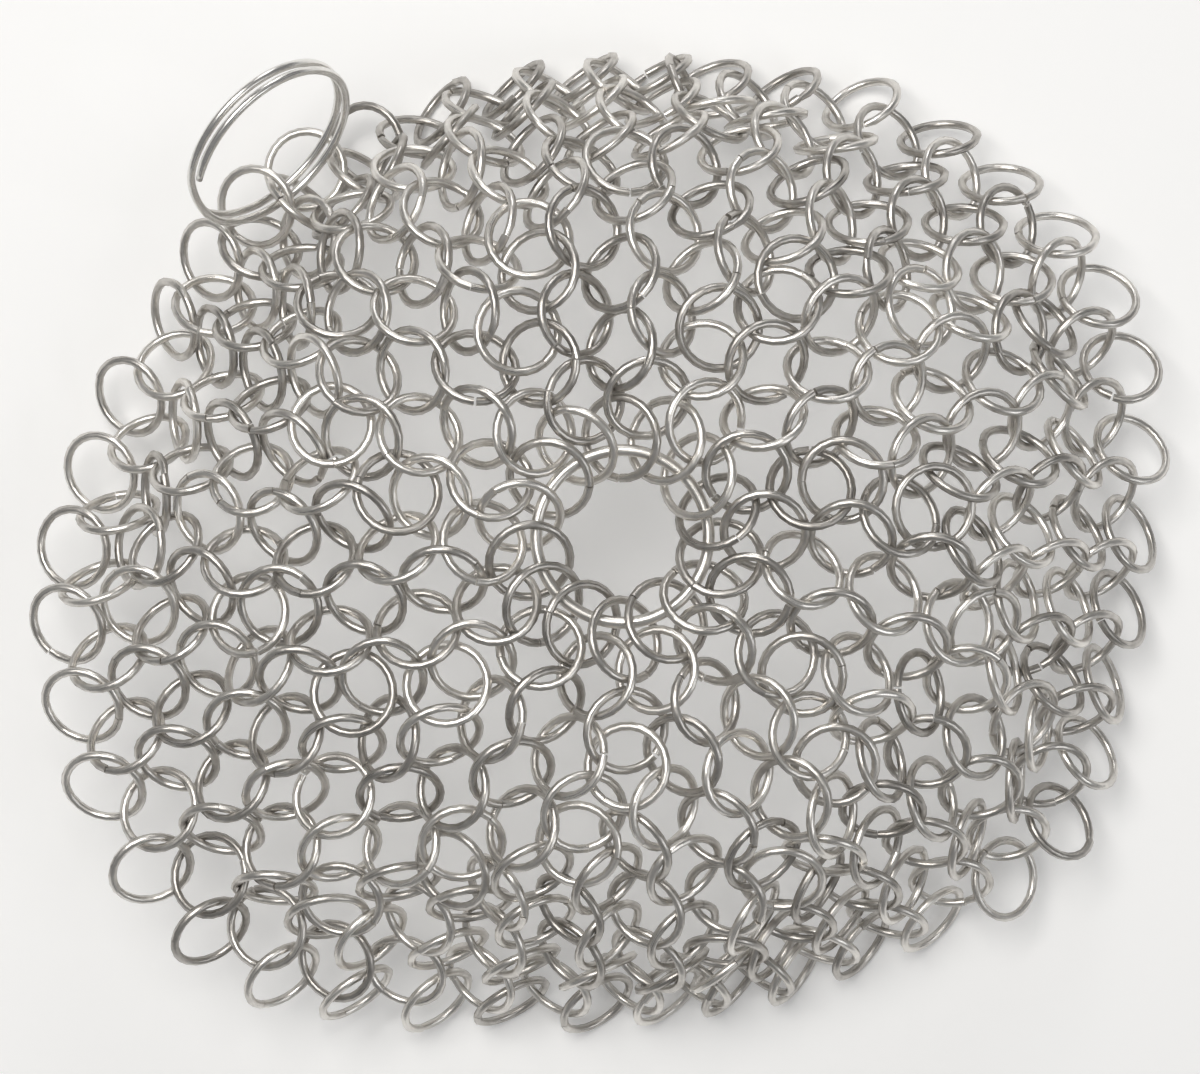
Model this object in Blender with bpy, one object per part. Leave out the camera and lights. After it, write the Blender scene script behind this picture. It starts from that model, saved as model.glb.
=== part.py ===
"""Round chainmail scrubber: interlinked steel rings in rows round a centre ring, with a split ring at its edge.

The mail lies draped over a low rise, as it does over an open hand. Units are metres, +Z is up, and the
centre of the mail is above the origin. Every ring is placed by the way rigid hoops hang in each other: they
start linked in a flat pattern, and are pushed apart until every wire is clear of the next one.
"""
from math import cos, pi, radians, sin

import bmesh
import bpy
import numpy as np
from mathutils import Matrix, Vector

# Ring sizes
RING_OUTER_DIAMETER = 0.0106
RING_WIRE = 0.0010
CENTRE_RING_DIAMETER = 0.0202
CENTRE_RING_WIRE = 0.00145
SPLIT_RING_DIAMETER = 0.0226
SPLIT_RING_WIRE = 0.0010
SPLIT_RING_COIL_GAP = 0.0005

# Pattern: rings in each row from the centre outwards
ROW_COUNTS = (14, 14, 14, 21, 21, 28, 28, 35, 35, 35, 42, 42, 42)
SECTORS = 7
FIRST_ROW_RADIUS = 0.0131
ROW_STEP = 0.0051

# Clearances between wires
RUNNING_GAP = 0.00042
RESTING_GAP = 0.00026
FUSED_DEPTH = 0.00045

# Drape: the mail lies level round its middle, then bends down by as much as brings its edge in
CROWN_REACH = 0.022
BEND_RADIUS = 0.036
EDGE_LIFT = 0.0026
EDGE_RING_LIFT = 0.0002
DRAPE_TAKE_UP = 0.01
FLAT_SPREAD = 0.9
DRAPE_STAGES = 50
DRAPE_PUSHES = 12
EDGE_REACH = ((2, 0.889), (28, 0.923), (40, 0.915), (50, 0.881), (60, 0.881), (70, 0.813), (80, 0.736),
              (92, 0.7), (110, 0.7), (120, 0.7), (130, 0.753), (142, 0.83), (155, 0.855), (168, 0.889),
              (185, 0.958), (198, 0.979), (226, 0.974), (240, 0.915), (250, 0.855), (263, 0.804),
              (280, 0.787), (297, 0.813), (312, 0.873), (324, 0.915), (342, 0.873))
FINGER_RIDGES = (((-0.007, 0.024), (0.041, 0.063)), ((0.012, 0.012), (0.070, 0.042)),
                 ((0.017, -0.007), (0.074, 0.014)), ((0.009, -0.032), (0.066, -0.040)))
FINGER_RIDGE_HEIGHT = 0.0020
FINGER_RIDGE_WIDTH = 0.0065
THUMB_RIDGE = ((-0.046, 0.020), (-0.044, 0.062))
THUMB_RIDGE_HEIGHT = 0.012
THUMB_RIDGE_WIDTH = 0.015
SPLIT_RING_ANGLE = 134
SPLIT_RING_LEAN = 22

# Facets
REST_FLAT_DEPTH = 0.0001
FLOOR_SLAB = (0.3, 0.3, 0.01)
RING_SEGMENTS = 6
FACET_SWELL = 1.25
WIRE_SIDES = 3
CENTRE_RING_SEGMENTS = 24
SPLIT_RING_SEGMENTS = 16

RING_RADIUS = (RING_OUTER_DIAMETER - RING_WIRE) / 2
CENTRE_RING_RADIUS = CENTRE_RING_DIAMETER / 2
SPLIT_RING_RADIUS = SPLIT_RING_DIAMETER / 2
LAST_ROW = len(ROW_COUNTS) - 1


def mail_rows():
    """Ring numbers and angles of each row, and the pairs of rings that hold each other; 0 is the centre ring."""
    rows, links, last = [], [], 0
    for row, count in enumerate(ROW_COUNTS):
        if row == 0:
            angles = [(i + 0.5) * 2 * pi / count for i in range(count)]
            ids = list(range(1, count + 1))
            links += [(0, ring) for ring in ids]
        else:
            inner_ids, inner = rows[-1]
            added = count - len(inner)
            start = len(inner) // (2 * SECTORS) if row % 4 == 3 else 0
            carriers = {start + i * len(inner) // SECTORS for i in range(added)}
            ids, angles = [], []
            for i, angle in enumerate(inner):
                after = (i + 1) % len(inner)
                halfway = angle + ((inner[after] - angle) % (2 * pi)) / 2
                if i in carriers:
                    ids.append(last + len(ids) + 1)
                    angles.append(angle)
                    links.append((inner_ids[i], ids[-1]))
                ids.append(last + len(ids) + 1)
                angles.append(halfway)
                links += [(inner_ids[i], ids[-1]), (inner_ids[after], ids[-1])]
            even = np.arange(count) * 2 * pi / count
            even += np.mean(np.array(angles) - even)
            angles = list(0.65 * np.array(angles) + 0.35 * even)
        last = ids[-1]
        rows.append((ids, angles))
    return rows, links


class Hoops:
    """The rings as rigid hoops: a centre, two directions in the plane, and the many-sided path of each wire."""

    def __init__(self, count, corners):
        self.corners = corners
        self.centre = np.zeros((count, 3))
        self.across = np.zeros((count, 3))
        self.normal = np.zeros((count, 3))
        self.radius = np.full(count, RING_RADIUS)
        self.wire = np.full(count, RING_WIRE)
        self.sides = np.full(count, RING_SEGMENTS)
        self.free = np.ones(count)

    def along(self):
        return np.cross(self.normal, self.across)

    def corner_radius(self):
        """Radius to the path's corners, so that its sides cross the true circle evenly."""
        return self.radius * (1 + 1 / np.cos(pi / self.sides)) / 2

    def square_up(self):
        self.normal /= np.linalg.norm(self.normal, axis=1, keepdims=True)
        self.across -= np.sum(self.across * self.normal, axis=1, keepdims=True) * self.normal
        self.across /= np.linalg.norm(self.across, axis=1, keepdims=True)

    def spots(self):
        """Every corner of each ring's solid."""
        axes = np.stack([self.across, self.along(), self.normal], axis=1)
        return self.centre[:, None] + self.corners[None] @ axes

    def lows(self):
        """Height of the lowest corner of each ring's solid."""
        return self.spots()[..., 2].min(axis=1)

    def path(self, samples):
        """Points along every wire's path, the same number on each side of it."""
        step = np.arange(samples) / samples
        side = 2 * pi / self.sides[:, None]
        turn = step[None] * 2 * pi
        middle = (np.floor(turn / side) + 0.5) * side
        radius = self.corner_radius()[:, None] * np.cos(side / 2) / np.cos(turn - middle)
        return (self.centre[:, None] + (radius * np.cos(turn))[..., None] * self.across[:, None]
                + (radius * np.sin(turn))[..., None] * self.along()[:, None])

    def nearest(self, rings, points):
        """The nearest points of the given rings' paths to the given points."""
        offset = points - self.centre[rings][:, None]
        across, along = self.across[rings][:, None], self.along()[rings][:, None]
        x, y = np.sum(offset * across, axis=2), np.sum(offset * along, axis=2)
        side = 2 * pi / self.sides[rings][:, None]
        middle = (np.floor(np.arctan2(y, x) / side) + 0.5) * side
        corner = self.corner_radius()[rings][:, None]
        out = corner * np.cos(side / 2)
        half = corner * np.sin(side / 2)
        slide = np.clip(y * np.cos(middle) - x * np.sin(middle), -half, half)
        flat_x = out * np.cos(middle) - slide * np.sin(middle)
        flat_y = out * np.sin(middle) + slide * np.cos(middle)
        return self.centre[rings][:, None] + flat_x[..., None] * across + flat_y[..., None] * along


def push_apart(hoops, gaps, rounds, targets=None, pull=0.0, fused=None, samples=28, floor=None):
    """Moves and turns the rings, as rigid hoops would, until no wires are nearer than their gap."""
    furthest = RING_WIRE * 0.25
    for step in range(rounds):
        if step % 20 == 0:
            apart = np.linalg.norm(hoops.centre[:, None] - hoops.centre[None], axis=2)
            near = np.triu(apart < hoops.radius[:, None] + hoops.radius[None] + 3 * RING_WIRE, 1)
            one, two = np.nonzero(near)
            first, second = np.concatenate([one, two]), np.concatenate([two, one])
            need = (hoops.wire[first] + hoops.wire[second]) / 2 + gaps[first, second]
            held = fused[first, second] if fused is not None else np.zeros(len(first), dtype=bool)
        points = hoops.path(samples)[first]
        nearest = hoops.nearest(second, points)
        distance = np.linalg.norm(points - nearest, axis=2)
        depth = np.clip(need[:, None] - distance, 0, RING_WIRE / 2)
        closest = np.argmin(distance[held], axis=1)
        rows = np.nonzero(held)[0]
        depth[rows, closest] = np.clip(need[rows] - distance[rows, closest], -RING_WIRE / 4, RING_WIRE / 2)
        pair, spot = np.nonzero(depth)
        move, turn = np.zeros_like(hoops.centre), np.zeros_like(hoops.centre)
        hits = np.zeros(len(hoops.centre))
        a, b = first[pair], second[pair]
        p, q = points[pair, spot], nearest[pair, spot]
        away = (p - q) / np.maximum(distance[pair, spot], RING_WIRE / 1000)[:, None]
        arm_a, arm_b = np.cross(p - hoops.centre[a], away), np.cross(q - hoops.centre[b], away)
        ease_a, ease_b = 2 / hoops.radius[a] ** 2, 2 / hoops.radius[b] ** 2
        give = (hoops.free[a] * (1 + np.sum(arm_a ** 2, axis=1) * ease_a)
                + hoops.free[b] * (1 + np.sum(arm_b ** 2, axis=1) * ease_b))
        share = depth[pair, spot] / np.maximum(give, 1)
        np.add.at(move, a, share[:, None] * away)
        np.add.at(move, b, -share[:, None] * away)
        np.add.at(turn, a, (share * ease_a)[:, None] * arm_a)
        np.add.at(turn, b, -(share * ease_b)[:, None] * arm_b)
        np.add.at(hits, a, 1)
        np.add.at(hits, b, 1)
        easing = 1.3 * hoops.free[:, None] / np.maximum(hits, 1)[:, None] ** 0.75
        move *= easing
        turn *= easing
        if targets is not None:
            reach = np.clip(pull * (targets - hoops.centre), -RING_WIRE / 60, RING_WIRE / 60)
            move += hoops.free[:, None] * reach
        length = np.linalg.norm(move, axis=1, keepdims=True)
        hoops.centre += move * np.minimum(1, furthest / np.maximum(length, 1e-12))
        angle = np.linalg.norm(turn, axis=1, keepdims=True)
        turn *= np.minimum(1, 0.05 / np.maximum(angle, 1e-12))
        hoops.normal += np.cross(turn, hoops.normal)
        hoops.across += np.cross(turn, hoops.across)
        hoops.square_up()
        if floor is not None:
            hoops.centre[:, 2] += np.maximum(floor - hoops.lows(), 0) * hoops.free


def smooth_reach():
    """How far the mail's edge reaches in plan at every degree, as a share of its flat radius."""
    angles = [angle for angle, _ in EDGE_REACH]
    shares = [share for _, share in EDGE_REACH]
    angles = [angles[-1] - 360] + angles + [angles[0] + 360]
    shares = [shares[-1]] + shares + [shares[0]]
    reach = np.interp(np.arange(360), angles, shares)
    for _ in range(40):
        reach = (np.roll(reach, 1) + 2 * reach + np.roll(reach, -1)) / 4
    return reach


def ridge(x, y, ends, height, width):
    """Height that a rounded ridge along a line adds at the given places."""
    (x0, y0), (x1, y1) = ends
    run = ((x - x0) * (x1 - x0) + (y - y0) * (y1 - y0)) / ((x1 - x0) ** 2 + (y1 - y0) ** 2)
    run = np.clip(run, 0, 1)
    off = np.hypot(x - x0 - run * (x1 - x0), y - y0 - run * (y1 - y0))
    return height * np.exp(-(off / width) ** 2)


def drape(flat, share, reach, flat_radius):
    """Where points of the flat mail come to lie, each radius bent down evenly a share of the way."""
    angle = np.degrees(np.arctan2(flat[:, 1], flat[:, 0])) % 360
    out = np.interp(angle, np.arange(361), np.append(reach, reach[0]))
    run = np.hypot(flat[:, 0], flat[:, 1])
    bend = share * bend_angle(out, flat_radius)
    plan, drop = fall(run, bend)
    deepest = fall(np.full(1, flat_radius), share * bend_angle(np.array([reach.min()]), flat_radius))[1][0]
    x, y = flat[:, 0] * plan / np.maximum(run, 1e-9), flat[:, 1] * plan / np.maximum(run, 1e-9)
    z = deepest - drop
    u = run / flat_radius
    for ends in FINGER_RIDGES:
        z += share * ridge(x, y, ends, FINGER_RIDGE_HEIGHT, FINGER_RIDGE_WIDTH) * (1 - np.minimum(u, 1) ** 4)
    z = np.maximum(z, share * ridge(x, y, THUMB_RIDGE, THUMB_RIDGE_HEIGHT, THUMB_RIDGE_WIDTH))
    return np.stack([x, y, z], axis=1)


def fall(run, bend):
    """How far out and how far down the mail lies after a length over the bend."""
    past = np.maximum(run - CROWN_REACH, 0)
    arc = np.minimum(past, BEND_RADIUS * bend)
    turn = arc / BEND_RADIUS
    rest = past - arc
    plan = np.minimum(run, CROWN_REACH) + BEND_RADIUS * np.sin(turn) + rest * np.cos(bend)
    return plan, BEND_RADIUS * (1 - np.cos(turn)) + rest * np.sin(bend)


def bend_angle(out, flat_radius):
    """The bend after which the edge lies at the given share of the flat radius."""
    low, high = np.zeros_like(out), np.full_like(out, radians(100))
    for step in range(24):
        middle = (low + high) / 2
        near = fall(np.full_like(out, flat_radius), middle)[0] < out * flat_radius
        low, high = np.where(near, low, middle), np.where(near, middle, high)
    return low


def drape_normals(flat, share, reach, flat_radius):
    """The draped surface's normal at each point of the flat mail."""
    step = np.array([RING_RADIUS / 2, 0, 0])
    side = step[[1, 0, 2]]
    dx = drape(flat + step, share, reach, flat_radius) - drape(flat - step, share, reach, flat_radius)
    dy = drape(flat + side, share, reach, flat_radius) - drape(flat - side, share, reach, flat_radius)
    normal = np.cross(dx, dy)
    return normal / np.linalg.norm(normal, axis=1, keepdims=True)


def turned(vectors, old, new):
    """Vectors turned by the shortest turn from the old normal to the new one."""
    axis = np.cross(old, new)
    cosine = np.sum(old * new, axis=1, keepdims=True)
    swing = axis * np.sum(axis * vectors, axis=1, keepdims=True) / (1 + cosine)
    return vectors * cosine + np.cross(axis, vectors) + swing


def start_linked(rows, hoops):
    """Sets the flat pattern close together, where every ring already passes through its neighbours."""
    flat = np.zeros_like(hoops.centre)
    hoops.normal[:] = (0, 0, 1)
    hoops.across[:] = (1, 0, 0)
    lean, roll = radians(10), radians(35)
    for row, (ids, angles) in enumerate(rows):
        flat_radius = FIRST_ROW_RADIUS + ROW_STEP * row
        radius = max(0.9 * flat_radius, CENTRE_RING_RADIUS + 1.8 * RING_WIRE)
        side = 1 if row % 2 == 0 else -1
        for ring, angle in zip(ids, angles):
            radial = np.array((cos(angle), sin(angle), 0))
            tangent = np.array((-sin(angle), cos(angle), 0))
            upward = np.array((0, 0, cos(lean))) + side * sin(lean) * radial
            hoops.normal[ring] = upward * cos(roll) + side * sin(roll) * tangent
            hoops.across[ring] = radial
            hoops.centre[ring] = radius * radial
            flat[ring] = flat_radius * radial
    hoops.square_up()
    return flat


def share_out(rows, links):
    """The sector that each ring is fused into (the edge row and the centre ring stand alone), and its fused links."""
    inner_of = {}
    for inner, outer in links:
        inner_of.setdefault(outer, []).append(inner)
    sector, fused = {}, []
    for row, (ids, angles) in enumerate(rows[:-1]):
        for i, (ring, angle) in enumerate(zip(ids, angles)):
            if row == 0:
                sector[ring] = i * SECTORS // len(ids)
                continue
            wanted = int((angle - rows[0][1][0] + pi / ROW_COUNTS[0]) % (2 * pi) / (2 * pi) * SECTORS)
            choices = [sector[inner] for inner in inner_of[ring]]
            sector[ring] = wanted if wanted in choices else choices[0]
            same = [inner for inner in inner_of[ring] if sector[inner] == sector[ring]]
            fused += [(inner, ring) for inner in (same[-1:] if row == 1 else same if row < 4 else same[:1])]
    return sector, fused


def lay_out(corners):
    """Places every ring: linked flat pattern, spread, draped, hung in the split ring, settled and fused."""
    rows, links = mail_rows()
    sector, fused_links = share_out(rows, links)
    split = 1 + sum(ROW_COUNTS)
    hoops = Hoops(split + 1, corners)
    hoops.radius[0], hoops.wire[0] = CENTRE_RING_RADIUS, CENTRE_RING_WIRE
    hoops.sides[0], hoops.free[[0, split]] = CENTRE_RING_SEGMENTS, 0
    flat_targets = start_linked(rows, hoops)
    hoops.centre[split] = (1, 1, 1)
    gaps = np.full((split + 1, split + 1), RUNNING_GAP)
    for opening in (-0.6, -0.4, -0.2, 0.0, 0.15, 0.3):
        push_apart(hoops, np.full_like(gaps, opening * RING_WIRE), 30)
    begin = hoops.centre.copy()
    for stage in range(1, 9):
        push_apart(hoops, gaps, 40, begin + FLAT_SPREAD * stage / 8 * (flat_targets - begin), 0.02)
    drape_rings(rows, hoops, gaps)
    holders = hang_split_ring(rows, hoops, gaps)
    owner = np.full(split + 1, -1)
    owner[list(sector)] = list(sector.values())
    together = (owner[:, None] == owner[None]) & (owner[:, None] >= 0)
    gaps[together] = RESTING_GAP
    fused = np.zeros_like(together)
    for one, two in fused_links:
        fused[one, two] = fused[two, one] = True
    floor = np.where(owner >= 0, 0.0, EDGE_RING_LIFT)
    resting = hoops.centre.copy()
    resting[rows[LAST_ROW - 1][0], 2] -= 2 * RING_WIRE
    for share, rounds in ((0, 30), (0.4, 40), (0.7, 40), (1, 150)):
        gaps[fused] = -share * FUSED_DEPTH
        push_apart(hoops, gaps, rounds, resting, 0.012, fused, samples=56, floor=floor)
    while stray := stray_rings(hoops, fused_links):
        more = [(one, two) for one, two in links if together[one, two] and not fused[one, two] and {one, two} & stray]
        if not more:
            break
        for one, two in more:
            fused[one, two] = fused[two, one] = True
        fused_links += more
        gaps[fused] = -FUSED_DEPTH
        push_apart(hoops, gaps, 150, resting, 0.012, fused, samples=56, floor=floor)
    return rows, links, sector, fused_links, holders, hoops


def stray_rings(hoops, fused_links):
    """Rings that others keep from sinking into the ring they are fused to; more of their links are fused then."""
    one, two = np.array(fused_links).T
    points = hoops.path(56)[one]
    reach = np.linalg.norm(points - hoops.nearest(two, points), axis=2).min(axis=1)
    stray = reach > RING_WIRE - FUSED_DEPTH / 2
    return {*one[stray].tolist(), *two[stray].tolist()}


def drape_rings(rows, hoops, gaps):
    """Lays the flat mail over the rise in small steps, letting the rings make room after each."""
    split = len(hoops.centre) - 1
    edge = rows[LAST_ROW][0]
    flat_radius = np.hypot(hoops.centre[edge, 0], hoops.centre[edge, 1]).mean()
    reach = smooth_reach()
    flat, lift = hoops.centre.copy(), hoops.centre[:, 2:].copy()
    flat[:, 2] = 0
    flat[split] = flat[0]
    hoops.centre[:, 2] += EDGE_LIFT
    old_normal = np.tile([0.0, 0.0, 1.0], (split + 1, 1))
    old_place = hoops.centre.copy()
    for stage in range(1, DRAPE_STAGES + 1):
        share = stage / DRAPE_STAGES
        normal = drape_normals(flat, share, reach, flat_radius)
        normal[[0, split]] = (0, 0, 1)
        laid = flat * (1 - DRAPE_TAKE_UP * share)
        place = drape(laid, share, reach, flat_radius) + lift * normal + (0, 0, EDGE_LIFT)
        place[split] = old_place[split]
        hoops.normal = turned(hoops.normal, old_normal, normal)
        hoops.across = turned(hoops.across, old_normal, normal)
        hoops.square_up()
        hoops.centre += place - old_place
        old_place, old_normal = place, normal
        push_apart(hoops, gaps, DRAPE_PUSHES, place, 0.015, floor=0.0)
    push_apart(hoops, gaps, 60, old_place - (0, 0, RING_WIRE / 2), 0.004, floor=0.0)
    push_apart(hoops, gaps, 120, floor=0.0)


def hang_split_ring(rows, hoops, gaps):
    """Sets the split ring upright at the mail's edge, through the two edge rings nearest its place."""
    edge, split = rows[LAST_ROW][0], len(hoops.centre) - 1
    place = np.array((cos(radians(SPLIT_RING_ANGLE)), sin(radians(SPLIT_RING_ANGLE))))
    heading = hoops.centre[edge, :2] / np.linalg.norm(hoops.centre[edge, :2], axis=1, keepdims=True)
    first = int(np.argmax(heading @ place))
    neighbours = ((first - 1) % len(edge), (first + 1) % len(edge))
    second = max(neighbours, key=lambda i: heading[i] @ place)
    holders = sorted((edge[first], edge[second]))
    one, two = hoops.centre[holders[0]], hoops.centre[holders[1]]
    chord = two - one
    level = chord / np.linalg.norm(chord)
    outward = np.array((place[0], place[1], 0))
    upward = cos(radians(SPLIT_RING_LEAN)) * np.array((0, 0, 1)) + sin(radians(SPLIT_RING_LEAN)) * outward
    upward -= (upward @ level) * level
    upward /= np.linalg.norm(upward)
    rise = np.sqrt(SPLIT_RING_RADIUS ** 2 - (np.linalg.norm(chord) / 2) ** 2)
    hoops.centre[split] = (one + two) / 2 + rise * upward
    hoops.across[split] = upward
    hoops.normal[split] = np.cross(upward, level)
    hoops.radius[split] = SPLIT_RING_RADIUS
    hoops.wire[split] = 2 * SPLIT_RING_WIRE + SPLIT_RING_COIL_GAP
    hoops.sides[split] = 2 * SPLIT_RING_SEGMENTS
    hoops.square_up()
    for opening in (-1.2, -0.8, -0.4, 0.0, 0.3):
        push_apart(hoops, np.minimum(gaps, opening * RING_WIRE), 30, floor=0.0)
    return holders


def material(name, colour, roughness):
    """A bare metal finish."""
    steel = bpy.data.materials.new(name)
    steel.use_nodes = True
    shader = steel.node_tree.nodes["Principled BSDF"]
    shader.inputs["Base Color"].default_value = (*colour, 1)
    shader.inputs["Metallic"].default_value = 1
    shader.inputs["Roughness"].default_value = roughness
    return steel


def ring_matrix(hoops, ring):
    """Where a ring lies: its plane's two directions, its normal and its centre."""
    axes = np.stack([hoops.across[ring], hoops.along()[ring], hoops.normal[ring]], axis=1)
    return Matrix.Translation(Vector(hoops.centre[ring])) @ Matrix(axes.tolist()).to_4x4()


def ring_mesh(name, radius, wire, segments, sides):
    """A closed ring of round wire, with as few faces as keep its size."""
    bpy.ops.mesh.primitive_torus_add(major_segments=segments, minor_segments=sides, minor_radius=wire / 2,
                                     major_radius=radius * (1 + 1 / cos(pi / segments)) / 2)
    made = bpy.context.object
    mesh = made.data
    mesh.name = name
    bpy.data.objects.remove(made)
    return mesh


def joined_rings(name, template, hoops, rings):
    """One mesh that holds a copy of a ring at each of the given places."""
    mesh = bpy.data.meshes.new(name)
    shape = bmesh.new()
    for ring in rings:
        before = len(shape.verts)
        shape.from_mesh(template)
        shape.verts.ensure_lookup_table()
        bmesh.ops.transform(shape, matrix=ring_matrix(hoops, ring), verts=shape.verts[before:])
    shape.to_mesh(mesh)
    shape.free()
    return mesh


def add(name, mesh, collection, finish):
    """A named object in its collection, with its finish."""
    thing = bpy.data.objects.new(name, mesh)
    collection.objects.link(thing)
    if finish:
        mesh.materials.clear()
        mesh.materials.append(finish)
    return thing


def add_boolean(thing, cutter, operation):
    """A live Boolean with the exact solver."""
    modifier = thing.modifiers.new(operation.lower(), "BOOLEAN")
    modifier.operation = operation
    modifier.solver = "EXACT"
    modifier.object = cutter


def make_sectors(rows, sector, hoops, template, parts, cutters, finish):
    """The body of the mail: seven wedges, each of links fused where they bear on one another."""
    row_of = {ring: row for row, (ids, _) in enumerate(rows) for ring in ids}
    sectors = []
    for number in range(SECTORS):
        rings = [ring for ring, owner in sector.items() if owner == number]
        even = [ring for ring in rings if row_of[ring] % 2 == 0]
        odd = [ring for ring in rings if row_of[ring] % 2 == 1]
        name = f"mail_sector_{number + 1}"
        wedge = add(name, joined_rings(name, template, hoops, even), parts, finish)
        other = add(name + "_odd_rows", joined_rings(name + "_odd_rows", template, hoops, odd), cutters, None)
        hide_cutter(other)
        add_boolean(wedge, other, "UNION")
        sectors.append(wedge)
    return sectors


def hide_cutter(thing):
    """Keeps a cutter out of renders and shows it as wires."""
    thing.hide_render = True
    thing.display_type = "WIRE"


def make_edge_rings(rows, links, hoops, template, parts, finish):
    """The edge row: one loose ring each, its origin on the line through the two links that carry it."""
    edge = rows[LAST_ROW][0]
    rings = []
    for number, ring in enumerate(edge):
        inner = [a for a, b in links if b == ring]
        frame = hinge_frame(hoops, ring, inner)
        mesh = template.copy()
        mesh.name = f"edge_ring_{number + 1:02d}"
        mesh.transform(frame.inverted() @ ring_matrix(hoops, ring))
        loose = add(mesh.name, mesh, parts, finish)
        loose.matrix_world = frame
        rings.append(loose)
    return rings


def hinge_frame(hoops, ring, holders):
    """A frame whose X axis runs through the two spots of a ring's wire where its two holders carry it."""
    points = hoops.path(140)[ring]
    spots = []
    for other in holders:
        away = np.linalg.norm(points - hoops.nearest([other], points[None])[0], axis=1)
        spots.append(points[np.argmin(away)])
    line = Vector(spots[1] - spots[0]).normalized()
    across = Vector(hoops.normal[ring]).cross(line).normalized()
    frame = Matrix((line, across, line.cross(across))).transposed().to_4x4()
    return Matrix.Translation(Vector((spots[0] + spots[1]) / 2)) @ frame


def floor_cutter(cutters):
    """A slab whose top is the floor, for cutting the rest flats."""
    bpy.ops.mesh.primitive_cube_add(size=1, location=(0, 0, -0.5 * FLOOR_SLAB[2]))
    slab = bpy.context.object
    for collection in list(slab.users_collection):
        collection.objects.unlink(slab)
    cutters.objects.link(slab)
    slab.name = "floor_slab"
    slab.data.transform(Matrix.Diagonal((*FLOOR_SLAB, 1)))
    hide_cutter(slab)
    return slab


def settle_on_floor(hoops):
    """Centres the mail over the origin and lowers it until its lowest wires reach the cut of their flats."""
    mail = hoops.spots()[1:-1].reshape(-1, 3)
    hoops.centre[:, :2] -= (mail.max(axis=0) + mail.min(axis=0))[:2] / 2
    hoops.centre[:, 2] -= hoops.lows()[1:-1].min() + REST_FLAT_DEPTH
    return int((hoops.lows()[1:-1] < -REST_FLAT_DEPTH / 2).sum())


def make_split_ring(hoops, holders, parts, finish):
    """The split ring at the edge: two turns of one wire, side by side, that cross over where its ends stop."""
    split = len(hoops.centre) - 1
    count, middle = 2 * SPLIT_RING_SEGMENTS - 1, SPLIT_RING_SEGMENTS - 1
    points = []
    for i in range(count):
        angle = pi / 2 + (i - middle) * 2 * pi / SPLIT_RING_SEGMENTS
        side = max(-1, min(1, i - middle)) * (SPLIT_RING_WIRE + SPLIT_RING_COIL_GAP) / 2
        points.append(Vector((SPLIT_RING_RADIUS * cos(angle), SPLIT_RING_RADIUS * sin(angle), side)))
    gap = min((points[i] - points[j]).length for i in range(count) for j in range(i + middle, count))
    print(f"split ring: least gap between its turns {(gap - SPLIT_RING_WIRE) * 1000:.2f} mm")
    curve = bpy.data.curves.new("split_ring", "CURVE")
    curve.dimensions = "3D"
    curve.bevel_depth = SPLIT_RING_WIRE / 2
    curve.bevel_resolution = 1
    curve.use_fill_caps = True
    spline = curve.splines.new("POLY")
    spline.points.add(count - 1)
    for spot, point in zip(spline.points, points):
        spot.co = (*point, 1)
    frame = hinge_frame(hoops, split, holders)
    curve.transform(frame.inverted() @ ring_matrix(hoops, split))
    ring = add("split_ring", curve, parts, finish)
    ring.matrix_world = frame
    return ring


def main():
    for thing in list(bpy.data.objects):
        bpy.data.objects.remove(thing)
    parts = bpy.data.collections.new("chainmail_scrubber")
    cutters = bpy.data.collections.new("cutters")
    for collection in (parts, cutters):
        bpy.context.scene.collection.children.link(collection)
    steel = material("drawn_steel", (0.62, 0.61, 0.59), 0.25)
    bright = material("bright_steel", (0.70, 0.69, 0.67), 0.18)
    link = ring_mesh("mail_ring", RING_RADIUS, RING_WIRE * FACET_SWELL, RING_SEGMENTS, WIRE_SIDES)
    corners = np.array([vertex.co[:] for vertex in link.vertices])
    rows, links, sector, fused_links, holders, hoops = lay_out(corners)
    standing = settle_on_floor(hoops)
    print(f"{sum(ROW_COUNTS)} mail rings, {len(links)} links; {standing} rings stand on the floor")
    print("held rigid by the split ring: edge rings", [rows[LAST_ROW][0].index(ring) + 1 for ring in holders])
    wedges = make_sectors(rows, sector, hoops, link, parts, cutters, steel)
    edge = make_edge_rings(rows, links, hoops, link, parts, steel)
    floor = floor_cutter(cutters)
    for thing in wedges + edge:
        add_boolean(thing, floor, "DIFFERENCE")
    centre_mesh = ring_mesh("centre_ring", CENTRE_RING_RADIUS, CENTRE_RING_WIRE, CENTRE_RING_SEGMENTS, 4)
    centre = add("centre_ring", centre_mesh, parts, bright)
    centre.location = Vector(hoops.centre[0])
    make_split_ring(hoops, holders, parts, bright)


main()
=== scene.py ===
# %% A chainmail scrubber of linked steel rings
from math import cos, pi, radians, sin

import bmesh
import bpy
import numpy as np
from mathutils import Matrix, Vector


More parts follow.
